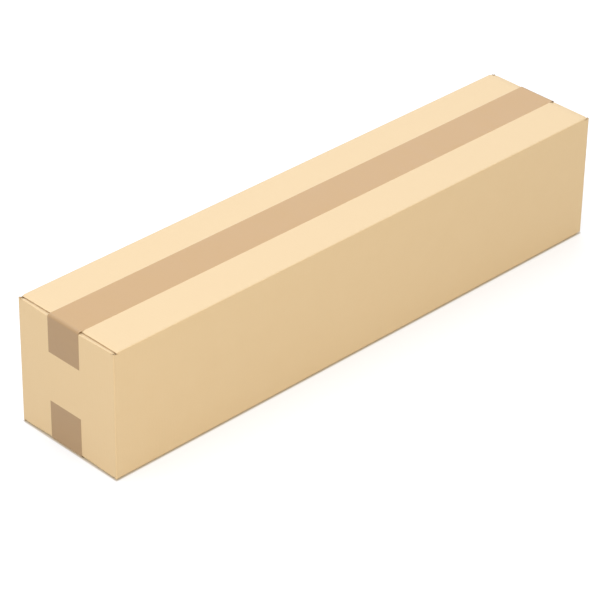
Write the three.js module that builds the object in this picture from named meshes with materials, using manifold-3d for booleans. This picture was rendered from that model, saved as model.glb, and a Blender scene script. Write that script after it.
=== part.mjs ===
// Long shipping box: a slotted carton of single-wall corrugated board, folded from one blank,
// closed flap over flap and sealed along its top and bottom seams with packing tape.
// Millimetres, +Z up, long axis along X. The origin is the middle of the base on the ground.

import * as THREE from 'three';
import { mergeVertices } from 'three/addons/utils/BufferGeometryUtils.js';
import Module from 'manifold-3d';

const wasm = await Module();
wasm.setup();

// Clear space inside the closed carton
const insideLength = 746;
const insideWidth = 150;
const insideHeight = 152;

// Board
const board = 2; // thickness of the corrugated board
const liner = 0.3; // paper skin on either side of the flutes
const creaseRadius = 1.2; // outside radius of a folded score

// Slots, flaps and the glued corner
const slotWidth = 6; // between neighbouring flaps
const slotShift = 1; // of the slot's middle from the corner score, towards the long flap
const fluteRecess = 1.2; // how far the flutes stand back behind the liners at a slotted edge
const seamGap = 1; // between the two long flaps
const layerGap = 0.3; // between a long flap and the end flap under it
const glueTabWidth = 35;
const glueTabTaper = 10; // how much the tab narrows at each end of its free edge
const glueTabClearance = 4; // from the end flaps to the tab
const jointStep = 1; // cut edge of the side wall, short of the end wall's face

// Packing tape
const tapeWidth = 50;
const tapeThickness = 0.15;
const tapeOffset = 3.8; // the strips lie a little to the back of the seams
const topTabLength = 47; // reach of the top strip down each end
const bottomTabLength = 51; // reach of the bottom strip up each end

// Smoothness and colours
const arcSegments = 10;
const kraftColour = 0xdcbf90;
const tapeColour = 0xb8966a;

// Outside of the carton
const halfLength = insideLength / 2 + board;
const halfWidth = insideWidth / 2 + board;
const layerStep = board + layerGap; // from a long flap's face to the end flap's face under it
const outerHeight = insideHeight + 2 * (board + layerStep);
const baseLevel = tapeThickness; // the board stands on the bottom strip
const topLevel = baseLevel + outerHeight;

// Flaps
const longInset = (board + slotWidth) / 2 + slotShift; // from an end wall's face to a long flap's end
const endInset = (board + slotWidth) / 2 - slotShift; // from a side wall's face to an end flap's edge
const flapReach = halfWidth - seamGap / 2; // all eight flaps have the same length in the blank

// Joining and cutting

function toSolid(geometry) {
  const bare = geometry.clone();
  bare.deleteAttribute('normal');
  bare.deleteAttribute('uv');
  const merged = mergeVertices(bare, 1e-5);
  const vertProperties = new Float32Array(merged.attributes.position.array);
  const triVerts = new Uint32Array(merged.index.array);
  return new wasm.Manifold(new wasm.Mesh({ numProp: 3, vertProperties, triVerts }));
}

function toGeometry(solid) {
  const mesh = solid.getMesh();
  const indexed = new THREE.BufferGeometry();
  indexed.setAttribute('position', new THREE.BufferAttribute(mesh.vertProperties, 3));
  indexed.setIndex(new THREE.BufferAttribute(mesh.triVerts, 1));
  const geometry = indexed.toNonIndexed();
  geometry.computeVertexNormals();
  return geometry;
}

// An outline drawn as (outward, up) is carried along the third direction, centred on it
function carry(shape, length, outward, up) {
  const along = new THREE.Vector3().crossVectors(outward, up);
  const geometry = new THREE.ExtrudeGeometry(shape, {
    depth: length,
    bevelEnabled: false,
    curveSegments: arcSegments,
  });
  geometry.translate(0, 0, -length / 2);
  return geometry.applyMatrix4(new THREE.Matrix4().makeBasis(outward, up, along));
}

const alongX = new THREE.Vector3(1, 0, 0);
const alongY = new THREE.Vector3(0, 1, 0);
const upward = new THREE.Vector3(0, 0, 1);
const downward = new THREE.Vector3(0, 0, -1);

// Carton

// The four walls in plan, rounded at three scores. At the back right corner the end wall turns in
// under the side wall, whose cut edge stops just short of the end wall's face.
function wallOutline() {
  const x = halfLength - creaseRadius;
  const y = halfWidth - creaseRadius;
  const joint = halfWidth - board;
  const outline = new THREE.Shape();
  outline.moveTo(-x, -halfWidth);
  outline.lineTo(x, -halfWidth);
  outline.absarc(x, -y, creaseRadius, -Math.PI / 2, 0);
  outline.absarc(x, joint - creaseRadius, creaseRadius, 0, Math.PI / 2);
  outline.lineTo(halfLength - jointStep, joint);
  outline.lineTo(halfLength - jointStep, halfWidth);
  outline.lineTo(-x, halfWidth);
  outline.absarc(-x, y, creaseRadius, Math.PI / 2, Math.PI);
  outline.absarc(-x, -y, creaseRadius, Math.PI, 1.5 * Math.PI);

  const inside = new THREE.Path();
  inside.moveTo(-insideLength / 2, -insideWidth / 2);
  inside.lineTo(-insideLength / 2, insideWidth / 2);
  inside.lineTo(insideLength / 2, insideWidth / 2);
  inside.lineTo(insideLength / 2, -insideWidth / 2);
  inside.closePath();
  outline.holes.push(inside);
  return outline;
}

// The walls stand to the foot of the slots, and stop lower where the end flaps fold in
function walls() {
  const low = baseLevel + layerStep;
  const high = topLevel - layerStep;
  const geometry = carry(wallOutline(), high - low, alongX, alongY);
  geometry.translate(0, 0, (low + high) / 2);
  let ring = toSolid(geometry);
  for (const end of [-1, 1]) {
    for (const foot of [low, high]) {
      const fold = new THREE.BoxGeometry(2 * board, 2 * (halfWidth - endInset), 2 * creaseRadius);
      fold.translate(end * halfLength, 0, foot);
      ring = ring.subtract(toSolid(fold));
    }
  }
  return ring;
}

// A wall with its top and bottom flaps folded in, seen from its edge
function foldedOutline(face, low, high) {
  const free = face - flapReach;
  const crease = face - creaseRadius;
  const outline = new THREE.Shape();
  outline.moveTo(free, low);
  outline.lineTo(crease, low);
  outline.absarc(crease, low + creaseRadius, creaseRadius, -Math.PI / 2, 0);
  outline.absarc(crease, high - creaseRadius, creaseRadius, 0, Math.PI / 2);
  outline.lineTo(free, high);
  outline.lineTo(free, high - board);
  outline.lineTo(face - board, high - board);
  outline.lineTo(face - board, low + board);
  outline.lineTo(free, low + board);
  outline.closePath();
  return outline;
}

// The open space between the liners, where the slot has cut along the flutes of a long flap
function edgeRecess(end, flapMiddle) {
  const reach = flapReach - 2 * board;
  const recess = new THREE.BoxGeometry(2 * fluteRecess, reach, board - 2 * liner);
  const middleY = seamGap / 2 + reach / 2;
  recess.translate(end * (halfLength - longInset), middleY, flapMiddle);
  return toSolid(recess);
}

function longSide() {
  const outline = foldedOutline(halfWidth, baseLevel, topLevel);
  const length = 2 * (halfLength - longInset);
  let side = toSolid(carry(outline, length, alongY, upward));
  for (const end of [-1, 1]) {
    for (const flapMiddle of [baseLevel + board / 2, topLevel - board / 2]) {
      side = side.subtract(edgeRecess(end, flapMiddle));
    }
  }
  return side;
}

function shortEnd() {
  const outline = foldedOutline(halfLength, baseLevel + layerStep, topLevel - layerStep);
  const length = 2 * (halfWidth - endInset);
  return toSolid(carry(outline, length, alongX, upward));
}

// Tab of the glued corner, inside the back wall, narrower towards its free edge
function glueTab() {
  const fold = insideLength / 2;
  const free = fold - glueTabWidth;
  const low = baseLevel + layerStep + board + glueTabClearance;
  const high = topLevel - layerStep - board - glueTabClearance;
  const outline = new THREE.Shape();
  outline.moveTo(fold, low);
  outline.lineTo(fold, high);
  outline.lineTo(free, high - glueTabTaper);
  outline.lineTo(free, low + glueTabTaper);
  outline.closePath();
  const geometry = carry(outline, board, alongX, upward);
  geometry.translate(0, insideWidth / 2 - board / 2, 0);
  return toSolid(geometry);
}

function carton() {
  let blank = walls().add(glueTab());
  for (const half of [longSide(), shortEnd()]) {
    blank = blank.add(half).add(half.rotate([0, 0, 180]));
  }
  return toGeometry(blank);
}

// Packing tape

// A strip in side view, from the face of the board (up = 0): flat on the flaps, bridging from the
// ends of the flaps to the end walls in a quarter ellipse, then flat down both ends
function tapeOutline(tabLength) {
  const flapEnd = halfLength - longInset;
  const drop = layerStep + 0.8 * creaseRadius; // it leaves the end wall just above the fold's foot
  const rise = tapeThickness;
  const quarter = Math.PI / 2;
  const outline = new THREE.Shape();
  outline.moveTo(-halfLength - rise, -tabLength);
  outline.lineTo(-halfLength - rise, -drop);
  outline.absellipse(-flapEnd, -drop, longInset + rise, drop + rise, 2 * quarter, quarter, true);
  outline.absellipse(flapEnd, -drop, longInset + rise, drop + rise, quarter, 0, true);
  outline.lineTo(halfLength + rise, -tabLength);
  outline.lineTo(halfLength, -tabLength);
  outline.absellipse(flapEnd, -drop, longInset, drop, 0, quarter);
  outline.absellipse(-flapEnd, -drop, longInset, drop, quarter, 2 * quarter);
  outline.lineTo(-halfLength, -tabLength);
  outline.closePath();
  return outline;
}

function tapeStrip(tabLength, up, level) {
  const geometry = carry(tapeOutline(tabLength), tapeWidth, alongX, up);
  return geometry.translate(0, tapeOffset, level);
}

// Assembly

const kraftBoard = new THREE.MeshStandardMaterial({
  color: kraftColour,
  roughness: 0.85,
  metalness: 0,
});
const tapeFilm = new THREE.MeshStandardMaterial({
  color: tapeColour,
  roughness: 0.35,
  metalness: 0,
});

const box = new THREE.Group();

function addPart(name, geometry, material) {
  const mesh = new THREE.Mesh(geometry, material);
  mesh.name = name;
  box.add(mesh);
}

addPart('carton', carton(), kraftBoard);
addPart('top_tape', tapeStrip(topTabLength, upward, topLevel), tapeFilm);
addPart('bottom_tape', tapeStrip(bottomTabLength, downward, baseLevel), tapeFilm);

export default box;
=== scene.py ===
import math

import bpy
import numpy as np
from mathutils import Matrix, Vector


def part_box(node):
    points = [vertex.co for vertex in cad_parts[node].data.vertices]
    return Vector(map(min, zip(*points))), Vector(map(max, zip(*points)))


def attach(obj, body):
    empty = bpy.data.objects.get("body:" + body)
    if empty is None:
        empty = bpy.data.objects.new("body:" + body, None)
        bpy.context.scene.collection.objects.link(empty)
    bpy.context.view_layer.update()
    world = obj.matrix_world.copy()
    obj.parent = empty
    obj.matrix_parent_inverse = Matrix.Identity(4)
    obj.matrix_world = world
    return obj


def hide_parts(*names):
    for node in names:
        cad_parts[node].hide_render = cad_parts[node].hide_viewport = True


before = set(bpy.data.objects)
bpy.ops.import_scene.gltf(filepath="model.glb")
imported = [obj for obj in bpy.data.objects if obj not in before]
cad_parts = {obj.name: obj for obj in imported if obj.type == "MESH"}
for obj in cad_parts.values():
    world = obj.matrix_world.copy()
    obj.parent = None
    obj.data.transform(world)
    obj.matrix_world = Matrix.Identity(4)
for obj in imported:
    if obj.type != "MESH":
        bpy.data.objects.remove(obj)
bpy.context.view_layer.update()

# The long box of corrugated board, closed and taped. Metres, long axis along X.
# The carton is laid out as the real blank is: one strip of walls with a glue tab, and eight flaps.
# Its board is two paper liners, with the flutes between them near the cut edges. All of it is worked
# out on grids of points with numpy.

cartonLow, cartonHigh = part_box("carton")
halfLength = cartonHigh.x
halfWidth = cartonHigh.y
baseLevel = cartonLow.z
topLevel = cartonHigh.z
middleLevel = (baseLevel + topLevel) / 2
halfHeight = (topLevel - baseLevel) / 2

camera = dict(
    azimuth=-44.85,         # degrees round from -Y, positive towards +X
    elevation=32.36,
    roll=0.96,
    distance=3.244,
    target=(-0.0305, -0.0022, 0.0439),
    lens=170.5,             # mm
    sensor=36,              # mm
    clip=(0.05, 60),
)


def aimCamera(c):
    # back = direction from the target to the camera; right and up turn about it by the roll
    a, e, r = (math.radians(c[k]) for k in ("azimuth", "elevation", "roll"))
    back = Vector((math.sin(a) * math.cos(e), -math.cos(a) * math.cos(e), math.sin(e)))
    level = Vector((0, 0, 1)).cross(back).normalized()
    steep = back.cross(level)
    right = level * math.cos(r) + steep * math.sin(r)
    up = back.cross(right)
    data = bpy.data.cameras.new("camera")
    data.lens = c["lens"]
    data.sensor_width = c["sensor"]
    data.clip_start, data.clip_end = c["clip"]
    shown = bpy.data.objects.new("camera", data)
    bpy.context.scene.collection.objects.link(shown)
    turn = Matrix((right, up, back)).transposed().to_4x4()
    shown.matrix_world = Matrix.Translation(Vector(c["target"]) + back * c["distance"]) @ turn
    bpy.context.scene.camera = shown


aimCamera(camera)
print("camera placed")


# Materials

noiseRange = (0.3, 0.7)             # a noise texture stays mostly between these values

kraft = dict(
    colour=(0.735, 0.535, 0.295),   # linear, brown kraft liner in bright light
    pale=(0.80, 0.62, 0.385),       # the clouds in it
    fleckAndShadeDark=(0.58, 0.40, 0.205),       # fibre flecks, and painted shade in the flute stripes and on the scores
    cloudShare=0.16,
    fleckShare=0.3,
    # painted shade in stripes along the flutes
    fluteShadeShare=0.035,
    # painted shade on the scores
    foldShadeShare=0.14,
    paintedShade=(0.26, 0.185, 0.115),    # painted shade along the folds that the box stands on, where they meet the floor
    paintedShadeShare=0.85,
    paintedShadeFrom=0.0012,              # full up to this height
    paintedShadeTo=0.0030,                # faded out above this one
    paintedShadeEdge=0.001,               # underneath, full up to this far in from the walls
    paintedShadeIn=0.0035,                # and faded out this far in
    roughness=0.66,
    roughnessSwing=(-0.04, 0.06),
    cloudSize=0.035,
    fleckLength=0.0032,
    fleckWidth=0.00035,
    lyingFlecks=(0.66, 0.80),       # noise values between which a fibre appears
    standingFlecks=(0.68, 0.82),
    flutePitch=0.0042,
    fluteRelief=0.00002,
    flutePatches=(14, 6),           # per metre, across and along the flutes
    patchRange=(0.3, 0.75),
    patchLeast=0.25,                # how much of the flutes shows in the faintest patches
    grainScale=1500,                # per metre
    grainRelief=0.00006,
    fibreRelief=0.5,                # of the flecks, as a share of the grain's
    bumpStrength=0.8,
)

cutPaper = dict(
    colour=(0.60, 0.435, 0.245),    # linear, cut edges of the liners and the flutes between them
    pale=(0.68, 0.505, 0.30),
    roughness=0.9,
)

tapeFinish = dict(
    colour=(0.50, 0.300, 0.123),    # linear, brown film over kraft
    # painted shade: the film is darker down the end walls
    paintedShadeTabColour=(0.397, 0.253, 0.129),
    mottleShare=0.04,               # of the board's colour, where the film lies unevenly
    roughness=0.38,
    roughnessSwing=0.08,
    specular=0.35,
    rippleSize=0.02,
    rippleStretch=0.4,              # repeats across the strip, against those along it
    rippleRelief=0.000012,
    fineScale=900,                  # per metre
    fineRelief=0.000004,
    bumpStrength=0.7,
)


def newGroup(name, inputs, outputs):
    group = bpy.data.node_groups.new(name, "ShaderNodeTree")
    for label, kind, value in inputs:
        socket = group.interface.new_socket(label, in_out="INPUT", socket_type=kind)
        if value is not None:
            socket.default_value = value
    for label, kind in outputs:
        group.interface.new_socket(label, in_out="OUTPUT", socket_type=kind)
    start = group.nodes.new("NodeGroupInput")
    end = group.nodes.new("NodeGroupOutput")
    return group, start, end


def addNode(tree, kind, **settings):
    node = tree.nodes.new(kind)
    for key, value in settings.items():
        setattr(node, key, value)
    return node


def calc(tree, operation, a, b=None, c=None):
    # one Math node; a, b and c are sockets or numbers
    node = addNode(tree, "ShaderNodeMath", operation=operation)
    for socket, value in zip(node.inputs, (a, b, c)):
        if value is None:
            continue
        if isinstance(value, (int, float)):
            socket.default_value = value
        else:
            tree.links.new(value, socket)
    return node.outputs[0]


def scaled(tree, vector, sx, sy):
    # a map in metres, times a number of repeats per metre along each of its axes
    node = addNode(tree, "ShaderNodeMapping", vector_type="POINT")
    node.inputs["Scale"].default_value = (sx, sy, 1)
    tree.links.new(vector, node.inputs["Vector"])
    return node.outputs[0]


def noise(tree, vector, detail=2.0, roughness=0.5):
    node = addNode(tree, "ShaderNodeTexNoise")
    node.inputs["Scale"].default_value = 1.0
    node.inputs["Detail"].default_value = detail
    node.inputs["Roughness"].default_value = roughness
    tree.links.new(vector, node.inputs["Vector"])
    return node.outputs["Fac"]


def spread(tree, value, low, high, toLow=0.0, toHigh=1.0):
    # low to high becomes toLow to toHigh, and what lies beyond stays at the nearer of them
    node = addNode(tree, "ShaderNodeMapRange", clamp=True)
    tree.links.new(value, node.inputs["Value"])
    for label, number in (("From Min", low), ("From Max", high), ("To Min", toLow), ("To Max", toHigh)):
        node.inputs[label].default_value = number
    return node.outputs[0]


def mixColour(tree, factor, a, b):
    node = addNode(tree, "ShaderNodeMix", data_type="RGBA")
    for socket, value in zip((node.inputs[0], node.inputs[6], node.inputs[7]), (factor, a, b)):
        if isinstance(value, tuple):
            socket.default_value = (*value, 1)
        else:
            tree.links.new(value, socket)
    return node.outputs[2]


def addBump(tree, surface, height, strength):
    # height in metres
    bump = addNode(tree, "ShaderNodeBump")
    bump.inputs["Strength"].default_value = strength
    bump.inputs["Distance"].default_value = 1.0
    tree.links.new(height, bump.inputs["Height"])
    tree.links.new(bump.outputs[0], surface.inputs["Normal"])


def boardMap(tree):
    return addNode(tree, "ShaderNodeUVMap", uv_map="boardMap").outputs[0]


def foldShare(tree):
    # 1 on a score of the board, and on the ends of the tape; painted shade goes there
    return addNode(tree, "ShaderNodeAttribute", attribute_name="fold").outputs["Fac"]


def objectPlace(tree):
    parts = addNode(tree, "ShaderNodeSeparateXYZ")
    tree.links.new(addNode(tree, "ShaderNodeTexCoord").outputs["Object"], parts.inputs[0])
    return parts.outputs


def seenRays(tree):
    # 1 for the rays that show a thing, 0 for those that light the scene
    path = addNode(tree, "ShaderNodeLightPath").outputs
    seen = calc(tree, "MAXIMUM", path["Is Camera Ray"], path["Is Glossy Ray"])
    return calc(tree, "MAXIMUM", seen, path["Is Transmission Ray"])


def paperGrainGroup():
    # Map in metres; clouds, short fibres lying both ways, and a fine grain in the height only
    group, start, end = newGroup(
        "paperGrain",
        [("Map", "NodeSocketVector", None)],
        [("Cloud", "NodeSocketFloat"), ("Fleck", "NodeSocketFloat"), ("Height", "NodeSocketFloat")],
    )
    place = start.outputs["Map"]
    size = 1 / kraft["cloudSize"]
    cloud = noise(group, scaled(group, place, size, size), detail=4.0, roughness=0.6)
    group.links.new(cloud, end.inputs["Cloud"])
    along, across = 1 / kraft["fleckLength"], 1 / kraft["fleckWidth"]
    lying = noise(group, scaled(group, place, along, across), detail=1.0)
    lying = spread(group, lying, *kraft["lyingFlecks"])
    standing = noise(group, scaled(group, place, across, along), detail=1.0)
    standing = spread(group, standing, *kraft["standingFlecks"])
    fibre = calc(group, "MAXIMUM", lying, standing)
    group.links.new(fibre, end.inputs["Fleck"])
    grain = kraft["grainScale"]
    fine = noise(group, scaled(group, place, grain, grain), detail=3.0, roughness=0.65)
    group.links.new(calc(group, "MULTIPLY_ADD", fibre, kraft["fibreRelief"], fine), end.inputs["Height"])
    return group


def washboardGroup():
    # the flutes telegraph through the liner: a sine along the map's first axis, in fainter and stronger
    # patches.
    # The height goes to the bump; the stripe is painted shade along the flutes.
    group, start, end = newGroup(
        "washboard",
        [("Map", "NodeSocketVector", None), ("Pitch", "NodeSocketFloat", kraft["flutePitch"])],
        [("ShadeStripe", "NodeSocketFloat"), ("Height", "NodeSocketFloat")],
    )
    parts = addNode(group, "ShaderNodeSeparateXYZ")
    group.links.new(start.outputs["Map"], parts.inputs[0])
    turns = calc(group, "DIVIDE", parts.outputs["X"], start.outputs["Pitch"])
    angle = calc(group, "MULTIPLY", turns, 2 * math.pi)
    wave = calc(group, "SINE", angle)
    patch = noise(group, scaled(group, start.outputs["Map"], *kraft["flutePatches"]), detail=2.0)
    strength = spread(group, patch, *kraft["patchRange"], kraft["patchLeast"], 1.0)
    height = calc(group, "MULTIPLY", wave, strength)
    group.links.new(height, end.inputs["Height"])
    group.links.new(calc(group, "MULTIPLY_ADD", height, 0.5, 0.5), end.inputs["ShadeStripe"])
    return group


def newMaterial(name):
    made = bpy.data.materials.new(name)
    made.use_nodes = True
    tree = made.node_tree
    tree.nodes.clear()
    surface = addNode(tree, "ShaderNodeBsdfPrincipled")
    output = addNode(tree, "ShaderNodeOutputMaterial")
    tree.links.new(surface.outputs[0], output.inputs["Surface"])
    return made, tree, surface


def placeGroup(tree, group, vector):
    node = addNode(tree, "ShaderNodeGroup")
    node.node_tree = group
    tree.links.new(vector, node.inputs["Map"])
    return node.outputs


def paintedShadeMask(tree):
    # painted shade: full on the folds that the box stands on, fading upwards and inwards from the walls
    where = objectPlace(tree)
    low = spread(tree, where["Z"], kraft["paintedShadeFrom"], kraft["paintedShadeTo"], kraft["paintedShadeShare"], 0.0)
    rims = []
    for axis, half in (("X", halfLength), ("Y", halfWidth)):
        out = calc(tree, "ABSOLUTE", where[axis])
        rims.append(spread(tree, out, half - kraft["paintedShadeIn"], half - kraft["paintedShadeEdge"]))
    return calc(tree, "MULTIPLY", low, calc(tree, "MAXIMUM", *rims))


def kraftMaterial(grainGroup, washGroup):
    made, tree, surface = newMaterial("kraftLiner")
    place = boardMap(tree)
    grain = placeGroup(tree, grainGroup, place)
    wash = placeGroup(tree, washGroup, place)

    cloud = spread(tree, grain["Cloud"], *noiseRange, 0.0, kraft["cloudShare"])
    colour = mixColour(tree, cloud, kraft["colour"], kraft["pale"])
    # fibre flecks are the paper's own; the flute stripes and the darker scores are painted shade
    for mark, share in (
        (grain["Fleck"], kraft["fleckShare"]),
        (wash["ShadeStripe"], kraft["fluteShadeShare"]),
        (foldShare(tree), kraft["foldShadeShare"]),
    ):
        colour = mixColour(tree, calc(tree, "MULTIPLY", mark, share), colour, kraft["fleckAndShadeDark"])
    # painted shade along the lower folds and the rim of the underside, darker towards the floor
    colour = mixColour(tree, paintedShadeMask(tree), colour, kraft["paintedShade"])
    tree.links.new(colour, surface.inputs["Base Color"])

    least, most = (kraft["roughness"] + swing for swing in kraft["roughnessSwing"])
    rough = spread(tree, grain["Cloud"], *noiseRange, least, most)
    tree.links.new(rough, surface.inputs["Roughness"])
    height = calc(tree, "MULTIPLY", grain["Height"], kraft["grainRelief"])
    height = calc(tree, "MULTIPLY_ADD", wash["Height"], kraft["fluteRelief"], height)
    addBump(tree, surface, height, kraft["bumpStrength"])
    return made


def rawPaperMaterial(grainGroup):
    made, tree, surface = newMaterial("rawPaper")
    grain = placeGroup(tree, grainGroup, boardMap(tree))
    cloud = spread(tree, grain["Cloud"], *noiseRange)
    colour = mixColour(tree, cloud, cutPaper["colour"], cutPaper["pale"])
    tree.links.new(colour, surface.inputs["Base Color"])
    surface.inputs["Roughness"].default_value = cutPaper["roughness"]
    return made


def tapeMaterial():
    made, tree, surface = newMaterial("brownTape")
    place = boardMap(tree)
    size = 1 / tapeFinish["rippleSize"]
    stretched = scaled(tree, place, size, size * tapeFinish["rippleStretch"])
    ripple = noise(tree, stretched, detail=3.0, roughness=0.55)
    # painted shade where the tape runs down the end walls
    colour = mixColour(tree, foldShare(tree), tapeFinish["colour"], tapeFinish["paintedShadeTabColour"])
    mottle = spread(tree, ripple, *noiseRange, 0.0, tapeFinish["mottleShare"])
    colour = mixColour(tree, mottle, colour, kraft["colour"])
    tree.links.new(colour, surface.inputs["Base Color"])
    most = tapeFinish["roughness"] + tapeFinish["roughnessSwing"]
    rough = spread(tree, ripple, *noiseRange, tapeFinish["roughness"], most)
    tree.links.new(rough, surface.inputs["Roughness"])
    surface.inputs["Specular IOR Level"].default_value = tapeFinish["specular"]
    grain = tapeFinish["fineScale"]
    fine = noise(tree, scaled(tree, place, grain, grain), detail=2.0)
    height = calc(tree, "MULTIPLY", ripple, tapeFinish["rippleRelief"])
    height = calc(tree, "MULTIPLY_ADD", fine, tapeFinish["fineRelief"], height)
    addBump(tree, surface, height, tapeFinish["bumpStrength"])
    return made


grainNodes = paperGrainGroup()
washNodes = washboardGroup()
kraftLiner = kraftMaterial(grainNodes, washNodes)
rawPaper = rawPaperMaterial(grainNodes)
brownTape = tapeMaterial()
print("materials made")


# Sheets

sharpAngle = 35         # degrees; edges that bend more than this are shaded sharp


def closedSheet(outer, inner, mapping, fold):
    # A thin sheet from two grids of points: the outer face, the inner face turned round, and the
    # rim between their borders. mapping and fold are given on the same grid. The first material
    # goes on both faces and the second on the rim.
    nu, nv = outer.shape[:2]
    index = np.arange(nu * nv).reshape(nu, nv)
    face = np.stack([index[:-1, :-1], index[1:, :-1], index[1:, 1:], index[:-1, 1:]], -1).reshape(-1, 4)
    back = face[:, ::-1] + nu * nv
    ring = np.concatenate([index[:, 0], index[-1, 1:], index[-2::-1, -1], index[0, -2:0:-1]])
    ahead = np.roll(ring, -1)
    rim = np.stack([ring, ring + nu * nv, ahead + nu * nv, ahead], -1)
    points = np.concatenate([outer.reshape(-1, 3), inner.reshape(-1, 3)])
    quads = np.concatenate([face, back, rim])
    # a negative volume means that the faces look inwards
    corner = points[quads]
    volume = np.einsum("ij,ij->", corner[:, 0], np.cross(corner[:, 1], corner[:, 2]))
    volume += np.einsum("ij,ij->", corner[:, 0], np.cross(corner[:, 2], corner[:, 3]))
    if volume < 0:
        quads = quads[:, ::-1]
    slots = np.zeros(len(quads), np.int32)
    slots[len(face) * 2:] = 1
    return dict(
        points=points,
        quads=quads,
        mapping=np.concatenate([mapping.reshape(-1, 2)] * 2),
        fold=np.concatenate([fold.reshape(-1)] * 2),
        slots=slots,
    )


def makePiece(name, sheets, materials, replaced):
    # all the sheets of a piece as one mesh, with its map and its fold attribute
    counts = np.cumsum([0] + [len(s["points"]) for s in sheets])
    points = np.concatenate([s["points"] for s in sheets])
    quads = np.concatenate([s["quads"] + n for s, n in zip(sheets, counts)])
    mapping = np.concatenate([s["mapping"] for s in sheets])
    fold = np.concatenate([s["fold"] for s in sheets])
    slots = np.concatenate([s["slots"] for s in sheets])
    mesh = bpy.data.meshes.new(name)
    mesh.vertices.add(len(points))
    mesh.vertices.foreach_set("co", points.astype(np.float32).ravel())
    mesh.loops.add(quads.size)
    mesh.loops.foreach_set("vertex_index", quads.astype(np.int32).ravel())
    mesh.polygons.add(len(quads))
    mesh.polygons.foreach_set("loop_start", np.arange(0, quads.size, 4, dtype=np.int32))
    mesh.polygons.foreach_set("material_index", slots.astype(np.int32))
    mesh.polygons.foreach_set("use_smooth", np.ones(len(quads), bool))
    mesh.update(calc_edges=True)
    layer = mesh.uv_layers.new(name="boardMap")
    layer.data.foreach_set("uv", mapping[quads.ravel()].astype(np.float32).ravel())
    attribute = mesh.attributes.new("fold", "FLOAT", "POINT")
    attribute.data.foreach_set("value", fold.astype(np.float32))
    mesh.set_sharp_from_angle(angle=math.radians(sharpAngle))
    mesh.validate()
    for material in materials:
        mesh.materials.append(material)
    piece = bpy.data.objects.new(name, mesh)
    bpy.context.scene.collection.objects.link(piece)
    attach(piece, "root")
    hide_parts(replaced)


# Board

board = dict(
    thickness=0.002,
    liner=0.0003,
    medium=0.0002,
    creaseRadius=0.0012,
    lowerRadius=0.0023,         # the lower folds, which carry the box, are rounder
    crushedRadius=0.0003,       # what is left inside a folded score
    crushFade=0.004,
    foldShadeReach=0.0015,           # how far beside a score the painted shade reaches
    cutCrush=0.4,               # share of the thickness that the die presses out of a cut edge
    cutFade=0.004,
    slotWidth=0.006,
    slotShift=0.001,            # of the slot's middle from the corner score, towards the long flap
    seamGap=0.001,
    layerGap=0.0003,
    jointStep=0.001,            # cut edge of the back wall, short of the far end's face
    glueTabWidth=0.035,
    glueTabTaper=0.010,
    glueTabClearance=0.004,
    fluteStrip=0.018,           # how far in from a cut edge the flutes are modelled
    fluteSteps=14,              # points to one flute
)

grid = dict(
    wallStep=0.02,
    endStep=0.01,
    tabStep=0.005,
    edgeStep=0.0012,            # beside a corner or a cut edge
    turnPoints=9,               # round a fold
    wallRows=25,
    longFlap=77,                # points along a long flap, without its two edges
    endFlap=25,
    cutPoints=5,                # within the pressed part of a cut edge
    hair=0.00002,               # width of a step in a wall's upper and lower edge
)

settled = dict(
    sideBow=0.0004,
    endBow=0.0002,
    topSag=0.0003,
    sideHold=6,                 # powers that keep each of them to its own face
    endHold=40,
    levelHold=8,
    endLift=0.0002,             # of the long top flaps, most at the seam
    liftReach=0.045,            # how far in from the ends it fades to a third
    liftSpread=0.7,             # power of (1 - y^2) in its fall towards the side walls
    foldSwell=0.0020,           # rise of an end flap's fold in front of the long flap's end
    farSwell=0.0007,            # and at the far end
    pressedSwell=0.0005,        # what is left of it under the tape
    openCorner=0.5,             # share of it left at the front corner of the near end
    closedCorner=0.75,          # and at the other corners, where the folds close up
    farRamp=0.008,              # at the far end it reaches its full height this far from the tape
    swellDepth=0.007,           # how far down the end wall the rise fades out
    lowerLift=0.0005,           # the lower folds stand off the floor
    lowerEase=3,                # power with which that fades towards the middle
)

tapeLow, tapeHigh = (corner.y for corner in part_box("top_tape"))
radius = board["creaseRadius"]
longInset = (board["thickness"] + board["slotWidth"]) / 2 + board["slotShift"]
endInset = (board["thickness"] + board["slotWidth"]) / 2 - board["slotShift"]
layerStep = board["thickness"] + board["layerGap"]
flapReach = halfWidth - board["seamGap"] / 2
fluteStep = kraft["flutePitch"] / board["fluteSteps"]


def crushedShare(bend):
    # the board's thickness in a fold of that outside radius, as a share of the whole
    return min(1, (bend - board["crushedRadius"]) / board["thickness"])


def smooth(t):
    # 3 t^2 - 2 t^3, held between 0 and 1
    t = np.clip(t, 0, 1)
    return t * t * (3 - 2 * t)


def foldSwell(points):
    # rise = (pressed + (full - pressed) * side) * corner * end * depth. side grows from the tape's
    # edge outwards, corner falls off towards the slots, end grows from the long flap's cut edge
    # outwards, and depth from the wall up to the fold. The far end swells less, over a shorter side.
    fromEnd = halfLength - np.abs(points[..., 0])
    fromLevel = halfHeight - np.abs(points[..., 2] - middleLevel)
    fromTape = np.maximum(tapeLow - points[..., 1], points[..., 1] - tapeHigh)
    far = points[..., 0] > 0
    full = np.where(far, settled["farSwell"], settled["foldSwell"])
    side = smooth(fromTape / np.where(far, settled["farRamp"], halfWidth - tapeHigh))
    least = np.where(far | (points[..., 1] > 0), settled["closedCorner"], settled["openCorner"])
    corner = least + (1 - least) * smooth((halfWidth - np.abs(points[..., 1])) / endInset)
    end = smooth((longInset - fromEnd) / (longInset - radius))
    depth = smooth(1 - (fromLevel - layerStep) / settled["swellDepth"])
    pressed = settled["pressedSwell"]
    return (pressed + (full - pressed) * side) * corner * end * depth


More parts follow.
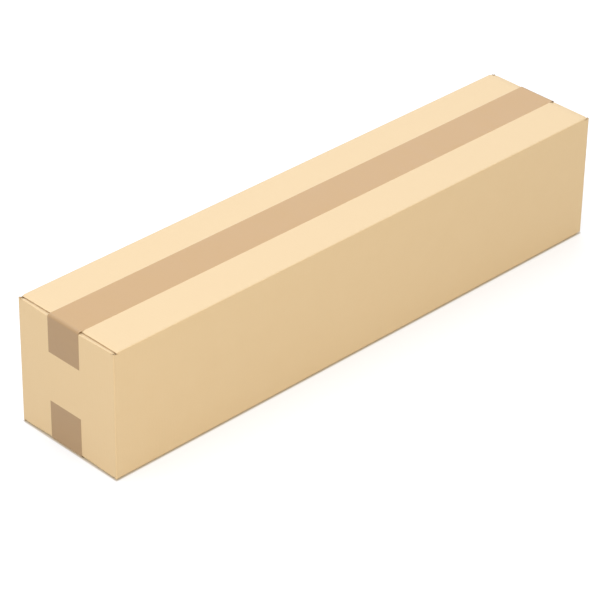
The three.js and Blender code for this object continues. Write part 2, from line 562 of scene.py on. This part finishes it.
def settle(points, outermost=False, swell=True):
    # The box isn't quite true. Walls bow out by (1 - x^2)(1 - z^2) or (1 - y^2)(1 - z^2), and the
    # top sags by (1 - x^2)(1 - y^2), each times a power of the distance out to its own face. The
    # lower edges stand off the floor, the end flaps' folds swell, and the long top flaps lift at
    # their ends.
    x = points[..., 0] / halfLength
    y = points[..., 1] / halfWidth
    z = (points[..., 2] - middleLevel) / halfHeight
    spanX, spanY, spanZ = (np.clip(1 - v ** 2, 0, 1) for v in (x, y, z))
    upper = np.clip(z, 0, 1) ** settled["levelHold"]
    lower = np.clip(-z, 0, 1) ** settled["levelHold"]
    sideways = settled["sideBow"] * spanX * spanZ * np.abs(y) ** settled["sideHold"]
    endways = settled["endBow"] * spanY * spanZ * np.abs(x) ** settled["endHold"]
    moved = points.copy()
    moved[..., 0] += np.sign(x) * endways
    moved[..., 1] += np.sign(y) * sideways
    moved[..., 2] -= settled["topSag"] * spanX * spanY * upper
    moved[..., 2] += settled["lowerLift"] * (1 - spanX * spanY) ** settled["lowerEase"] * lower
    if swell:
        moved[..., 2] += np.sign(z) * foldSwell(points)
    if outermost:
        fromEnd = halfLength - np.abs(points[..., 0])
        lift = settled["endLift"] * np.exp(-np.clip(fromEnd, 0, None) / settled["liftReach"])
        moved[..., 2] += lift * spanY ** settled["liftSpread"] * upper
    return moved


def boardLayer(points, normals, scale, near, far, mapping, fold, place):
    # the part of the board's thickness from near to far, measured in from its outer face
    outer = points - normals * (scale * near)[..., None]
    inner = points - normals * (scale * far)[..., None]
    return closedSheet(settle(outer, **place), settle(inner, **place), mapping, fold)


def liners(points, normals, scale, mapping, fold, **place):
    thick, skin = board["thickness"], board["liner"]
    return [
        boardLayer(points, normals, scale, near, near + skin, mapping, fold, place)
        for near in (np.zeros(scale.shape), np.full(scale.shape, thick - skin))
    ]


def flutes(points, normals, scale, mapping, fold, **place):
    # depth of the fluted medium = liner + swing * (1 - cos(2 pi s / pitch)) / 2
    swing = board["thickness"] - 2 * board["liner"] - board["medium"]
    turns = mapping[..., 0] / kraft["flutePitch"]
    near = board["liner"] + swing * (0.5 - 0.5 * np.cos(2 * np.pi * turns))
    sheet = boardLayer(points, normals, scale, near, near + board["medium"], mapping, fold, place)
    sheet["slots"][:] = 1
    return [sheet]


# Walls: the path round the box, from the cut edge at the far back corner to the glue tab

def wallRuns():
    # Each run is a straight piece or a quarter turn. drop is how far its upper and lower ends
    # stand back from the foot of the slots, at its start and its end. Where an end wall folds
    # over, that is the radius of the fold.
    x, y, r = halfLength, halfWidth, radius
    near = endInset - r                   # flat beside a corner, next to the end flap's fold
    tabEnd = board["thickness"] + board["glueTabClearance"]
    joint = y - board["thickness"]
    strip = board["fluteStrip"]
    edgeStep = grid["edgeStep"]
    runs = []

    def line(start, end, normal, drop=(0.0, 0.0), step=grid["wallStep"]):
        length = math.dist(start, end)
        runs.append(dict(
            start=start,
            end=end,
            normal=normal,
            drop=drop,
            length=length,
            count=max(2, round(length / step) + 1),
            turn=False,
            folded=drop == (r, r),
        ))

    def turn(centre, angle):
        runs.append(dict(
            centre=centre,
            angle=math.radians(angle),
            drop=(0.0, 0.0),
            length=r * math.pi / 2,
            count=grid["turnPoints"],
            turn=True,
            folded=False,
        ))

    line((x - board["jointStep"], y), (x - strip, y), (0, 1), step=edgeStep)
    line((x - strip, y), (-x + r + strip, y), (0, 1))
    line((-x + r + strip, y), (-x + r, y), (0, 1), step=edgeStep)
    turn((-x + r, y - r), 90)
    line((-x, y - r), (-x, y - r - near), (-1, 0))
    line((-x, y - endInset), (-x, -y + endInset), (-1, 0), drop=(r, r), step=grid["endStep"])
    line((-x, -y + endInset), (-x, -y + r), (-1, 0))
    turn((-x + r, -y + r), 180)
    line((-x + r, -y), (-x + r + strip, -y), (0, -1), step=edgeStep)
    line((-x + r + strip, -y), (x - r - strip, -y), (0, -1))
    line((x - r - strip, -y), (x - r, -y), (0, -1), step=edgeStep)
    turn((x - r, -y + r), 270)
    line((x, -y + r), (x, -y + endInset), (1, 0))
    line((x, -y + endInset), (x, joint - r), (1, 0), drop=(r, r), step=grid["endStep"])
    turn((x - r, joint - r), 0)
    tabFree = x - board["thickness"] - board["glueTabWidth"]
    tabDrop = (tabEnd, tabEnd + board["glueTabTaper"])
    line((x - r, joint), (tabFree, joint), (0, 1), drop=tabDrop, step=grid["tabStep"])
    return runs


def wallGrid(runs, firstS, rows, finest=None):
    # Every run sampled and put end to end. A column that steps down gets a hair's breadth.
    parts, s, before = [], firstS, None
    for run in runs:
        count = run["count"] if finest is None else max(3, int(run["length"] / finest) + 2)
        t = np.linspace(0, 1, count)
        if before is not None:
            stepped = abs(before - run["drop"][0]) >= 1e-9
            t = np.r_[grid["hair"] / run["length"], t[1:]] if stepped else t[1:]
        before = run["drop"][1]
        if run["turn"]:
            angle = run["angle"] + t * math.pi / 2
            normal = np.stack([np.cos(angle), np.sin(angle)], -1)
            place = np.array(run["centre"]) + radius * normal
            crush = np.ones(len(t))
        else:
            place = np.array(run["start"]) * (1 - t)[:, None] + np.array(run["end"]) * t[:, None]
            normal = np.repeat([run["normal"]], len(t), 0).astype(float)
            crush = np.zeros(len(t))
        drop = run["drop"][0] * (1 - t) + run["drop"][1] * t
        lower = drop + run["folded"] * (board["lowerRadius"] - radius)
        parts.append((s + t * run["length"], place, normal, crush, drop, lower))
        s += run["length"]
    along, place, normal, crush, drop, lower = (np.concatenate(p) for p in zip(*parts))
    # crushing fades out beside each score
    scores = along[crush > 0.5]
    if len(scores):
        gap = np.min(np.abs(along[:, None] - scores[None, :]), axis=1)
    else:
        gap = np.ones(len(along))
    crush = np.clip(1 - gap / board["crushFade"], 0, 1)
    low = baseLevel + layerStep + lower
    high = topLevel - layerStep - drop
    v = 0.5 - 0.5 * np.cos(np.linspace(0, np.pi, rows))      # rows crowd towards the folds
    z = low[:, None] * (1 - v) + high[:, None] * v
    points = np.concatenate([np.repeat(place[:, None], rows, 1), z[..., None]], -1)
    normals = np.concatenate([np.repeat(normal[:, None], rows, 1), np.zeros((*z.shape, 1))], -1)
    scale = np.repeat((1 - crush * (1 - crushedShare(radius)))[:, None], rows, 1)
    mapping = np.stack([np.repeat(along[:, None], rows, 1), z], -1)
    # fold marks where the painted shade on the scores goes
    fold = np.repeat(np.clip(1 - gap / board["foldShadeReach"], 0, 1)[:, None], rows, 1)
    return points, normals, scale, mapping, fold


def makeWalls():
    runs = wallRuns()
    starts = np.cumsum([0.0] + [run["length"] for run in runs])
    sheets = liners(*wallGrid(runs, 0.0, grid["wallRows"]))
    # flutes at the joint and round each corner, where the slots show the board's cut edge
    for first, last in ((0, 1), (2, 5), (6, 9), (10, 13), (14, 15)):
        sheets += flutes(*wallGrid(runs[first:last], starts[first], 2, fluteStep))
    makePiece("carton_walls", sheets, [kraftLiner, rawPaper], "carton")
    return starts


wallStarts = makeWalls()
print("walls made")


# Flaps

flapShares = np.r_[0.03, 0.06, np.linspace(0.12, 1, 10)]    # places across a flap, from its fold
flapPlaces = dict(              # whether on a long wall, and on which side of the box
    front=(True, -1),
    back=(True, 1),
    near=(False, -1),
    far=(False, 1),
)


def flapProfile(foot, level, reach, bend):
    # In section: up the wall from the foot to the score, a quarter turn, then in over the box.
    # Gives distance in from the wall's face, height, the outward normal, length so far, and the
    # distance from the fold.
    crease = level - bend
    up = np.linspace(foot, crease, 3)[:-1] if crease - foot > 1e-6 else np.zeros(0)
    angle = np.linspace(0, np.pi / 2, grid["turnPoints"])
    flat = bend + (reach - bend) * flapShares
    inward = np.r_[np.zeros(len(up)), bend * (1 - np.cos(angle)), flat]
    height = np.r_[up, crease + bend * np.sin(angle), np.full(len(flat), level)]
    outNormal = np.r_[np.ones(len(up)), np.cos(angle), np.zeros(len(flat))]
    upNormal = np.r_[np.zeros(len(up)), np.sin(angle), np.ones(len(flat))]
    length = np.r_[0, np.cumsum(np.hypot(np.diff(inward), np.diff(height)))]
    gap = np.r_[crease - up, np.zeros(len(angle)), flat - bend]
    return inward, height, outNormal, upNormal, length, gap


def flapGrid(across, span, face, side, vertical, foot, level, reach, alongX, firstS, way):
    # across: places along the wall, between -span and span; side: which wall (-1, 1); vertical: top
    # (1) or bottom (-1); firstS and way: the map's first axis is firstS + way * across
    bend = radius if vertical > 0 else board["lowerRadius"]
    if not alongX:
        foot -= bend
    inward, height, outNormal, upNormal, length, gap = flapProfile(foot, level, reach, bend)
    if vertical < 0:
        height, upNormal = 2 * middleLevel - height, -upNormal
    a, i = np.meshgrid(across, inward, indexing="ij")
    h = np.broadcast_to(height, a.shape)
    out = side * (face - i)
    nOut = np.broadcast_to(side * outNormal, a.shape)
    nUp = np.broadcast_to(upNormal, a.shape)
    still = np.zeros(a.shape)
    points = np.stack([a, out, h] if alongX else [out, a, h], -1)
    normals = np.stack([still, nOut, nUp] if alongX else [nOut, still, nUp], -1)
    crush = np.clip(1 - gap / board["crushFade"], 0, 1)
    cut = board["cutCrush"] * smooth(1 - (span - np.abs(a)) / board["cutFade"])
    points -= normals * (board["thickness"] * cut)[..., None]
    scale = (1 - crush * (1 - crushedShare(bend))) * (1 - cut)
    lengthMap = np.broadcast_to(vertical * (foot - middleLevel + length), a.shape) + middleLevel
    mapping = np.stack([firstS + way * a, lengthMap], -1)
    # fold marks where the painted shade on the scores goes
    fold = np.broadcast_to(np.clip(1 - gap / board["foldShadeReach"], 0, 1), a.shape)
    return points, normals, scale, mapping, fold


def makeFlap(name, long, side, vertical):
    # The map carries on from the wall's, so that the flutes run through the score. The front wall
    # begins with run 8, the near and far flaps fold over from runs 5 and 13, and the back wall's map
    # begins at its cut edge.
    if long:
        face, span, level, way = halfWidth, halfLength - longInset, topLevel, -side
        firstS = wallStarts[8] + halfLength - radius if side < 0 else halfLength - board["jointStep"]
    else:
        face, span, level, way = halfLength, halfWidth - endInset, topLevel - layerStep, side
        firstS = wallStarts[5 if side < 0 else 13] + halfWidth - endInset
    foot = topLevel - layerStep
    settling = dict(outermost=long and vertical > 0, swell=not long)
    place = (span, face, side, vertical, foot, level, flapReach, long, firstS, way)
    count = grid["longFlap"] if long else grid["endFlap"]
    fine = span - board["cutFade"] * np.linspace(1, 0, grid["cutPoints"])
    across = np.r_[-fine[::-1], np.linspace(-fine[0], fine[0], count)[1:-1], fine]
    sheets = liners(*flapGrid(across, *place), **settling)
    for end in (-1, 1):
        fine = end * np.arange(span - board["fluteStrip"], span + fluteStep / 2, fluteStep)
        fine[-1] = end * span
        sheets += flutes(*flapGrid(np.sort(fine), *place), **settling)
    makePiece(name, sheets, [kraftLiner, rawPaper], "carton")


for levelName, levelSign in (("top", 1), ("bottom", -1)):
    for placeName, (isLong, sideSign) in flapPlaces.items():
        makeFlap(f"{levelName}_{placeName}_flap", isLong, sideSign, levelSign)
print("flaps made")


# Tape

tape = dict(
    film=0.00006,
    lie=0.00002,            # adhesive between the board and the film
    stepAlong=0.012,
    stepDown=0.004,
    stepAcross=0.005,
    bridgePoints=15,        # over the fold
    leaves=0.8,             # it leaves the wall this share of the fold's radius below the fold's top
    pucker=0.00012,         # unevenness of the film where it bridges the fold
    puckerWaves=((410, 1.3, 1.0), (830, 0.4, 0.6)),     # radians per metre, start, share
)


def makeTape(name, node, vertical):
    # The strip's path in side view: up one end, a quarter ellipse over the fold, along, and down
    low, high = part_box(node)
    width = (low.y, high.y)
    tab = (high.z - low.z) - (high.x - halfLength)
    level = (topLevel - middleLevel) + tape["lie"]
    reach = halfLength + tape["lie"]
    bend, drop = longInset, layerStep + tape["leaves"] * radius
    rows = max(2, round((tab - drop) / tape["stepDown"]))
    tabDown = np.linspace(-tab, -drop, rows)[:-1]
    angle = np.linspace(np.pi, np.pi / 2, tape["bridgePoints"])
    flat = np.linspace(-reach + bend, 0, round(halfLength / tape["stepAlong"]))[1:]
    x = np.r_[np.full(len(tabDown), -reach), -reach + bend + bend * np.cos(angle), flat]
    z = np.r_[tabDown, -drop + drop * np.sin(angle), np.zeros(len(flat))]
    # the ellipse's normal is (cos / width, sin / height), made one long
    steep, shallow = drop * np.cos(angle), bend * np.sin(angle)
    size = np.hypot(steep, shallow)
    nx = np.r_[np.full(len(tabDown), -1.0), steep / size, np.zeros(len(flat))]
    nz = np.r_[np.zeros(len(tabDown)), shallow / size, np.ones(len(flat))]
    # painted shade on the tape: 1 down the end walls, fading over the fold, 0 on top
    paintedShadeTabShare = np.r_[np.ones(len(tabDown)), -np.cos(angle), np.zeros(len(flat))]
    # the other half is its mirror image
    x, z = np.r_[x, -x[-2::-1]], np.r_[z, z[-2::-1]]
    nx, nz = np.r_[nx, -nx[-2::-1]], np.r_[nz, nz[-2::-1]]
    paintedShadeTabShare = np.r_[paintedShadeTabShare, paintedShadeTabShare[-2::-1]]
    s = np.r_[0, np.cumsum(np.hypot(np.diff(x), np.diff(z)))]
    across = np.linspace(*width, round((width[1] - width[0]) / tape["stepAcross"]) + 1)
    along, y = np.meshgrid(s, across, indexing="ij")
    x, z, nx, nz, paintedShadeTabShare = (np.broadcast_to(v[:, None], y.shape) for v in (x, z, nx, nz, paintedShadeTabShare))
    fromBridge = np.abs(np.abs(x) - (halfLength - bend / 2))
    onFold = np.clip(1 - fromBridge / bend, 0, 1) * (z > -2 * bend)
    waves = sum(share * np.sin(y * rate + start) for rate, start, share in tape["puckerWaves"])
    pucker = np.abs(tape["pucker"] * onFold * waves)
    points = np.stack([x, y, middleLevel + vertical * (level + z)], -1)
    normals = np.stack([nx, np.zeros(y.shape), vertical * nz], -1)
    base = settle(points, vertical > 0) + normals * pucker[..., None]
    mapping = np.stack([along, y], -1)
    sheet = closedSheet(base + normals * tape["film"], base, mapping, paintedShadeTabShare)
    makePiece(name, [sheet], [brownTape, brownTape], node)


makeTape("top_tape_strip", "top_tape", 1)
makeTape("bottom_tape_strip", "bottom_tape", -1)
print("tape made")


# Room

room = dict(
    floorSize=8.0,
    floorColour=(0.56, 0.56, 0.56),
    floorGlow=0.46,
    farGlow=1.1,                    # out of the lamps' reach
    farFrom=0.7,
    farTo=2.6,
    paintedShadowWidth=0.0016,            # painted contact shadow: the floor's emission fades towards the box over this distance
    paintedShadowColour=(0.38, 0.24, 0.05), # painted shadow left there, in the colour the box throws on the floor
    world=0.72,
    aim=(0, 0, 0.08),               # where the lamps point
    overhead=dict(at=(-0.3, 0.65, 2.6), size=3.1, power=50, tint=(0.675, 0.785, 1.0)),
    back=dict(at=(2.2, 2.2, 1.9), size=2.2, power=23, tint=(0.70, 0.80, 1.0)),
    key=dict(at=(-2.6, -1.6, 1.3), size=2.0, power=36.5, tint=(1.0, 0.94, 0.83)),
    side=dict(at=(0.2, -3.0, 1.3), size=2.0, power=15.5, tint=(1.0, 0.91, 0.72)),
)


def makeFloor():
    h = room["floorSize"] / 2
    mesh = bpy.data.meshes.new("floor")
    mesh.from_pydata([(-h, -h, 0), (h, -h, 0), (h, h, 0), (-h, h, 0)], [], [(0, 1, 2, 3)])
    floor = bpy.data.objects.new("floor", mesh)
    bpy.context.scene.collection.objects.link(floor)
    made, tree, surface = newMaterial("paleFloor")
    surface.inputs["Base Color"].default_value = (*room["floorColour"], 1)
    surface.inputs["Roughness"].default_value = 1.0
    surface.inputs["Specular IOR Level"].default_value = 0.0
    # distance from the footprint = hypot(max(|x| - half length, 0), max(|y| - half width, 0))
    where = objectPlace(tree)
    squares = []
    for axis, half in (("X", halfLength), ("Y", halfWidth)):
        beyond = calc(tree, "SUBTRACT", calc(tree, "ABSOLUTE", where[axis]), half)
        squares.append(calc(tree, "POWER", calc(tree, "MAXIMUM", beyond, 0.0), 2.0))
    distance = calc(tree, "SQRT", calc(tree, "ADD", *squares))
    # painted contact shadow: the emission fades to a dim brown next to the box
    away = spread(tree, distance, 0.0, room["paintedShadowWidth"])
    glowWithPaintedShadow = mixColour(tree, away, room["paintedShadowColour"], (1.0, 1.0, 1.0))
    tree.links.new(glowWithPaintedShadow, surface.inputs["Emission Color"])
    reach = spread(tree, distance, room["farFrom"], room["farTo"], room["floorGlow"], room["farGlow"])
    strength = calc(tree, "MULTIPLY", seenRays(tree), reach)
    tree.links.new(strength, surface.inputs["Emission Strength"])
    mesh.materials.append(made)


def makeWorld():
    world = bpy.data.worlds.new("studio")
    bpy.context.scene.world = world
    world.use_nodes = True
    tree = world.node_tree
    tree.nodes.clear()
    light = addNode(tree, "ShaderNodeBackground")
    output = addNode(tree, "ShaderNodeOutputWorld")
    strength = spread(tree, seenRays(tree), 0.0, 1.0, room["world"], 1.0)
    tree.links.new(strength, light.inputs["Strength"])
    light.inputs["Color"].default_value = (1, 1, 1, 1)
    tree.links.new(light.outputs[0], output.inputs["Surface"])


def makeLamp(name, at, size, power, tint):
    data = bpy.data.lights.new(name, "AREA")
    data.shape = "SQUARE"
    data.size = size
    data.energy = power
    data.color = tint
    lamp = bpy.data.objects.new(name, data)
    bpy.context.scene.collection.objects.link(lamp)
    lamp.location = at
    lamp.rotation_euler = (Vector(room["aim"]) - Vector(at)).to_track_quat("-Z", "Y").to_euler()


makeFloor()
makeWorld()
for lampName in ("overhead", "back", "key", "side"):
    makeLamp(lampName, **room[lampName])
bpy.context.scene.view_settings.view_transform = "Standard"
print("room made")
